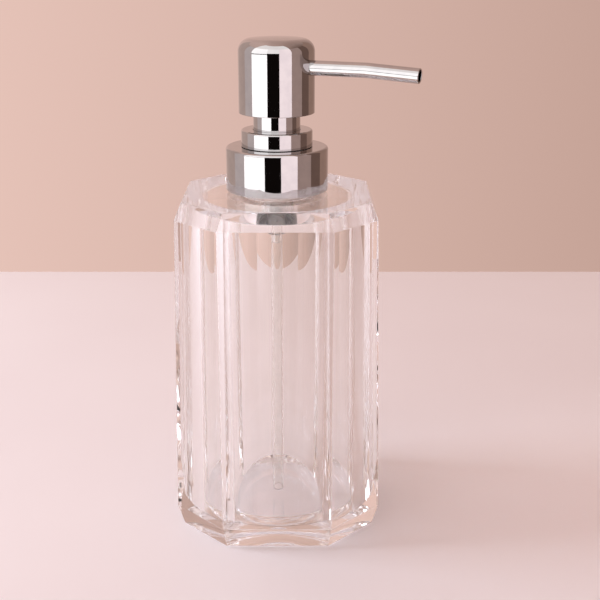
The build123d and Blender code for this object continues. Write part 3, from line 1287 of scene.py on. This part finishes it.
@dataclass(frozen=True)
class SoftBox:
    """Rectangular soft light that hangs in the studio and aims at the bottle."""

    name: str
    azimuth: float
    elevation: float
    distance_m: float
    size_m: tuple[float, float]
    power: float
    colour: str = "#ffffff"


CARDS = (
    Card("card_left_rear", -150, -106, "#cfb5ac"),
    Card("card_left", -106, -76, "#dccbc9"),
    Card("card_left_front", -76, -26, "#fffafa", 2.1, head_m=0.105),
    Card("card_left_slot", -76, -26, "#241c1a", foot_m=0.105, head_m=0.17),
    Card("card_left_over", -76, -26, "#fffafa", 1.8, foot_m=0.17),
    Card("card_dark_gap", -26, 10, "#130e0d", head_m=0.22),
    Card("card_over_gap", -26, 10, "#fff8f7", 1.5, foot_m=0.22),
    Card("card_high", -76, 47, "#fff6f4", 1.3, foot_m=0.75, head_m=2.2),
    Card("card_right_front", 10, 47, "#ffecee", 1.55),
    Card("card_right", 47, 82, "#bc9f97"),
    Card("card_right_rear", 82, 112, "#7d6258"),
    Card("card_right_back", 112, 150, "#ac8a7c"),
)

# Colour of the wall by direction: the X part of it, from -1 at the left to 1 at the right.
# The plain wall is painted lighter on the left and darker to the right: painted light and shade, as
# if lit from the left.
WALL = (
    (-1.0, "#b39b93"),
    (-0.7, "#e6c5ba"),
    (-0.4, "#ecc9be"),
    (0.3, "#c4a296"),
    (0.5, "#b5978d"),
    (0.8, "#85695f"),
    (1.0, "#5f4b44"),
)

SOFT_BOXES = (
    SoftBox("key_left", -90, 36, 0.9, (0.3, 0.3), 5.0, "#e6f0ff"),
    SoftBox("fill_overhead", -10, 82, 1.2, (1.2, 1.2), 1.5, "#f0eef4"),
    SoftBox("fill_front", -42, 36, 0.8, (0.4, 0.4), 0.45, "#dcecff"),
)


@dataclass
class Studio:
    """Pale floor, warm backdrop, soft lights, reflector cards and the camera."""

    camera_mm: tuple[float, float, float] = (7.76, -365.35, 199.9)
    camera_pitch: float = 0.321
    lens_mm: float = 65.7
    sensor_mm: float = 36.0
    clip_start_m: float = 0.01
    floor_back_m: float = 0.293
    floor_reach_m: float = 3.0
    floor_drop_mm: float = 0.3
    aim_height_m: float = 0.06
    card_circle_m: float = 0.7
    card_step: float = 4.0
    light_bounces: int = 40

    def build(self) -> None:
        """Set up the whole studio."""
        self.camera()
        self.floor()
        self.backdrop()
        for box in SOFT_BOXES:
            self.soft_box(box)
        for card in CARDS:
            self.card(card)
        scene = bpy.context.scene
        scene.view_settings.view_transform = "Standard"
        # Light turns back and forth inside a thick clear block many times before it leaves.
        scene.cycles.max_bounces = self.light_bounces
        scene.cycles.glossy_bounces = self.light_bounces
        scene.cycles.transmission_bounces = self.light_bounces

    def camera(self) -> None:
        """Place the camera, looking along +Y and slightly down."""
        data = bpy.data.cameras.new("camera")
        data.lens = self.lens_mm
        data.sensor_width = self.sensor_mm
        data.clip_start = self.clip_start_m
        camera = bpy.data.objects.new("camera", data)
        camera.location = Vector(self.camera_mm) * MM
        camera.rotation_euler = (pi / 2 - self.camera_pitch, 0, 0)
        bpy.context.scene.collection.objects.link(camera)
        bpy.context.scene.camera = camera

    def floor(self) -> None:
        """Lay the floor, which ends in a straight line behind the object."""
        bm = bmesh.new()
        reach, back = self.floor_reach_m, self.floor_back_m
        drop = -self.floor_drop_mm * MM
        corners = ((-reach, -reach), (reach, -reach), (reach, back), (-reach, back))
        bm.faces.new([bm.verts.new((x, y, drop)) for x, y in corners])
        floor = plain_object("floor", bm, StudioSurface().build())
        floor.visible_glossy = False

    def backdrop(self) -> None:
        """Wrap the studio in a warm wall that is lighter on the left: painted light from the left,
        and painted shade towards the right.
        """
        world = bpy.data.worlds.new("studio_wall")
        bpy.context.scene.world = world
        world.use_nodes = True
        tree = world.node_tree
        tree.nodes.clear()
        place = add_node(tree, "ShaderNodeTexCoord")
        split = add_node(tree, "ShaderNodeSeparateXYZ", links={0: place.outputs["Generated"]})
        across = add_node(
            tree,
            "ShaderNodeMapRange",
            values={"From Min": -1.0, "From Max": 1.0},
            links={"Value": split.outputs["X"]},
        )
        ramp = add_node(tree, "ShaderNodeValToRGB", links={"Fac": across.outputs["Result"]})
        elements = ramp.color_ramp.elements
        for side, _ in WALL[1:-1]:
            elements.new((side + 1) / 2)
        for element, (_, colour) in zip(elements, WALL):
            element.color = linear(colour)
        wall = add_node(tree, "ShaderNodeBackground", links={"Color": ramp.outputs["Color"]})
        add_node(tree, "ShaderNodeOutputWorld", links={"Surface": wall.outputs["Background"]})

    def soft_box(self, box: SoftBox) -> None:
        """Hang one soft light.

        Args:
            box: Where it hangs and how strong it is.
        """
        data = bpy.data.lights.new(box.name, "AREA")
        data.shape = "RECTANGLE"
        data.size, data.size_y = box.size_m
        data.energy = box.power
        data.color = linear(box.colour)[:3]
        light = bpy.data.objects.new(box.name, data)
        azimuth, rise = radians(box.azimuth), radians(box.elevation)
        aim = Vector((0, 0, self.aim_height_m))
        way = Vector((sin(azimuth) * cos(rise), -cos(azimuth) * cos(rise), sin(rise)))
        light.location = aim + way * box.distance_m
        light.rotation_euler = (-way).to_track_quat("-Z", "Y").to_euler()
        light.visible_camera = False
        light.visible_glossy = False
        bpy.context.scene.collection.objects.link(light)

    def card(self, card: Card) -> None:
        """Stand one curved reflector card on the circle round the object.

        Args:
            card: Its place, colour and strength.
        """
        bm = bmesh.new()
        reach = self.card_circle_m
        steps = max(2, round((card.stop - card.start) / self.card_step))
        foot, head = [], []
        for k in range(steps + 1):
            a = radians(card.start + (card.stop - card.start) * k / steps)
            x, y = reach * sin(a), -reach * cos(a)
            foot.append(bm.verts.new((x, y, card.foot_m)))
            head.append(bm.verts.new((x, y, card.head_m)))
        for k in range(steps):
            bm.faces.new((foot[k], foot[k + 1], head[k + 1], head[k]))
        material, tree = new_material(card.name)
        glow = add_node(
            tree,
            "ShaderNodeEmission",
            values={"Color": linear(card.colour), "Strength": card.strength},
        )
        add_node(tree, "ShaderNodeOutputMaterial", links={"Surface": glow.outputs["Emission"]})
        material.cycles.emission_sampling = "NONE"
        screen = plain_object(card.name, bm, material)
        screen.visible_camera = False
        screen.visible_diffuse = False
        screen.visible_transmission = False
        screen.visible_shadow = False


def main() -> None:
    """Load the frame, build every sub-assembly in order and set up the studio."""
    logging.basicConfig(level=logging.INFO, format="%(name)s: %(message)s")
    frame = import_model()
    pieces = [Bottle().build()]
    pieces += Closure().build(frame)
    pieces += PumpUnit().build(frame)
    pieces += PressHead().build()
    for piece in pieces:
        LOG.info("%s: %d vertices", piece.name, len(piece.data.vertices))
    Studio().build()


if __name__ == "__main__":
    main()
